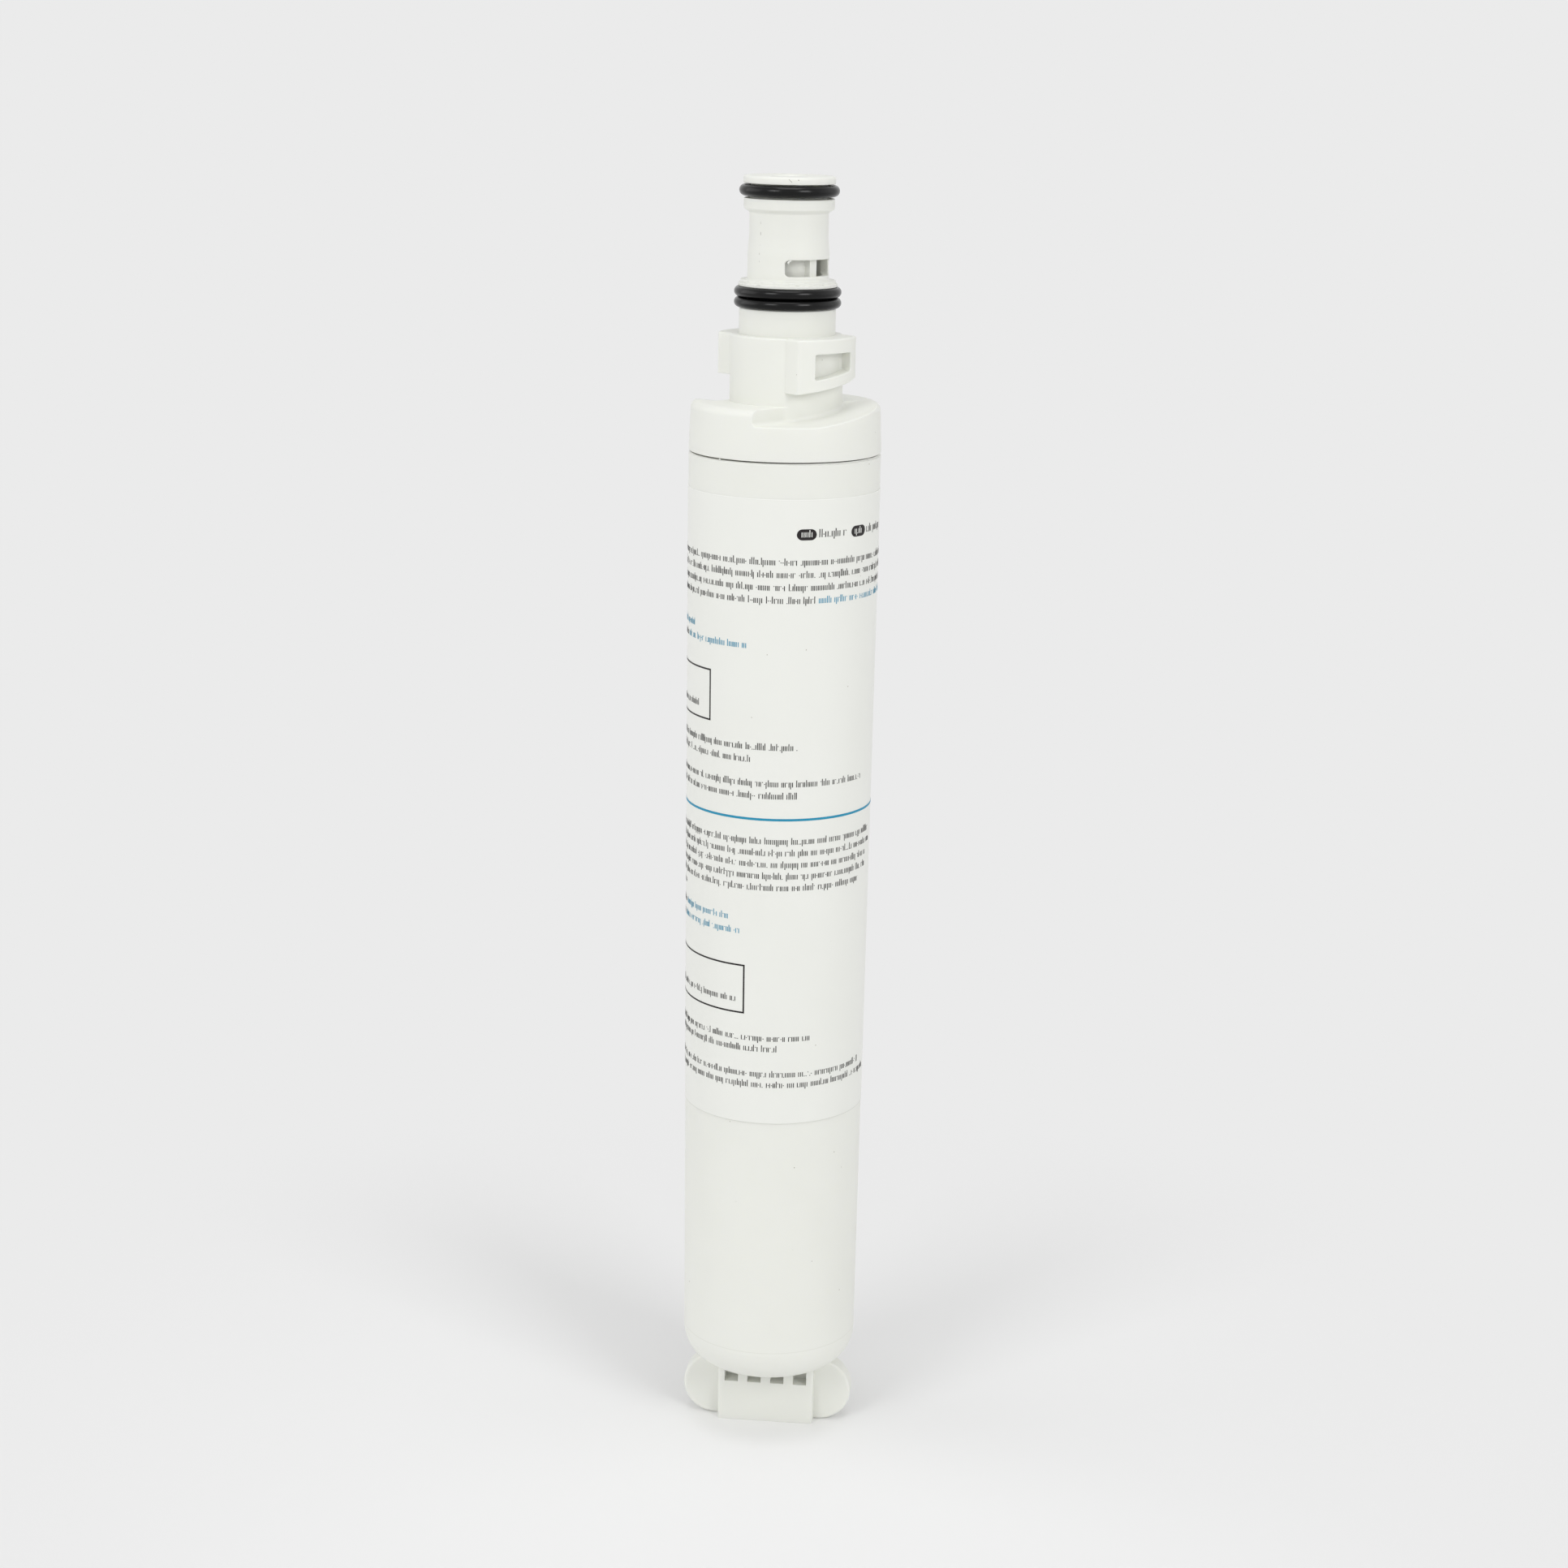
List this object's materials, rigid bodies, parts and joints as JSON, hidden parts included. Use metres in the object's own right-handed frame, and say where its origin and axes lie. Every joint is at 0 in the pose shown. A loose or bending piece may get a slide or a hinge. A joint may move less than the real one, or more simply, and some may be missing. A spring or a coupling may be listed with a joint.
{
  "type": "quarter-turn water filter cartridge",
  "caption": "Slim white cartridge with a tapered sump, bayonet-lug head, stepped nozzle with black O-rings, wrap label and a carbon block inside; filters drinking water.",
  "frame": {"origin": "on the cartridge's axis, at the flat shoulder of the head under the bayonet lugs, where it seats in the filter head", "axes": "+Z along the axis, from the grip to the nozzle; -Y is the side that the picture shows; the lugs lie on the diagonals between +X and -Y, and between -X and +Y"},
  "size_m": [0.0512, 0.0512, 0.3482],
  "materials": {
    "housing_plastic": "satin moulded white",
    "label_film": "white printed film",
    "seal_rubber": "satin black",
    "pressed_carbon": "matte black",
    "sleeve_felt": "white felt",
    "cap_plastic": "moulded white"
  },
  "bodies": {
    "root": {"head": "housing_plastic", "sump": "housing_plastic", "label": "label_film", "upper_o_ring": "seal_rubber", "middle_o_ring": "seal_rubber", "lower_o_ring": "seal_rubber", "spigot_o_ring": "seal_rubber", "carbon_block": "pressed_carbon", "prefilter_sleeve": "sleeve_felt", "top_end_cap": "cap_plastic", "bottom_end_cap": "cap_plastic"}
  },
  "joints": []
}
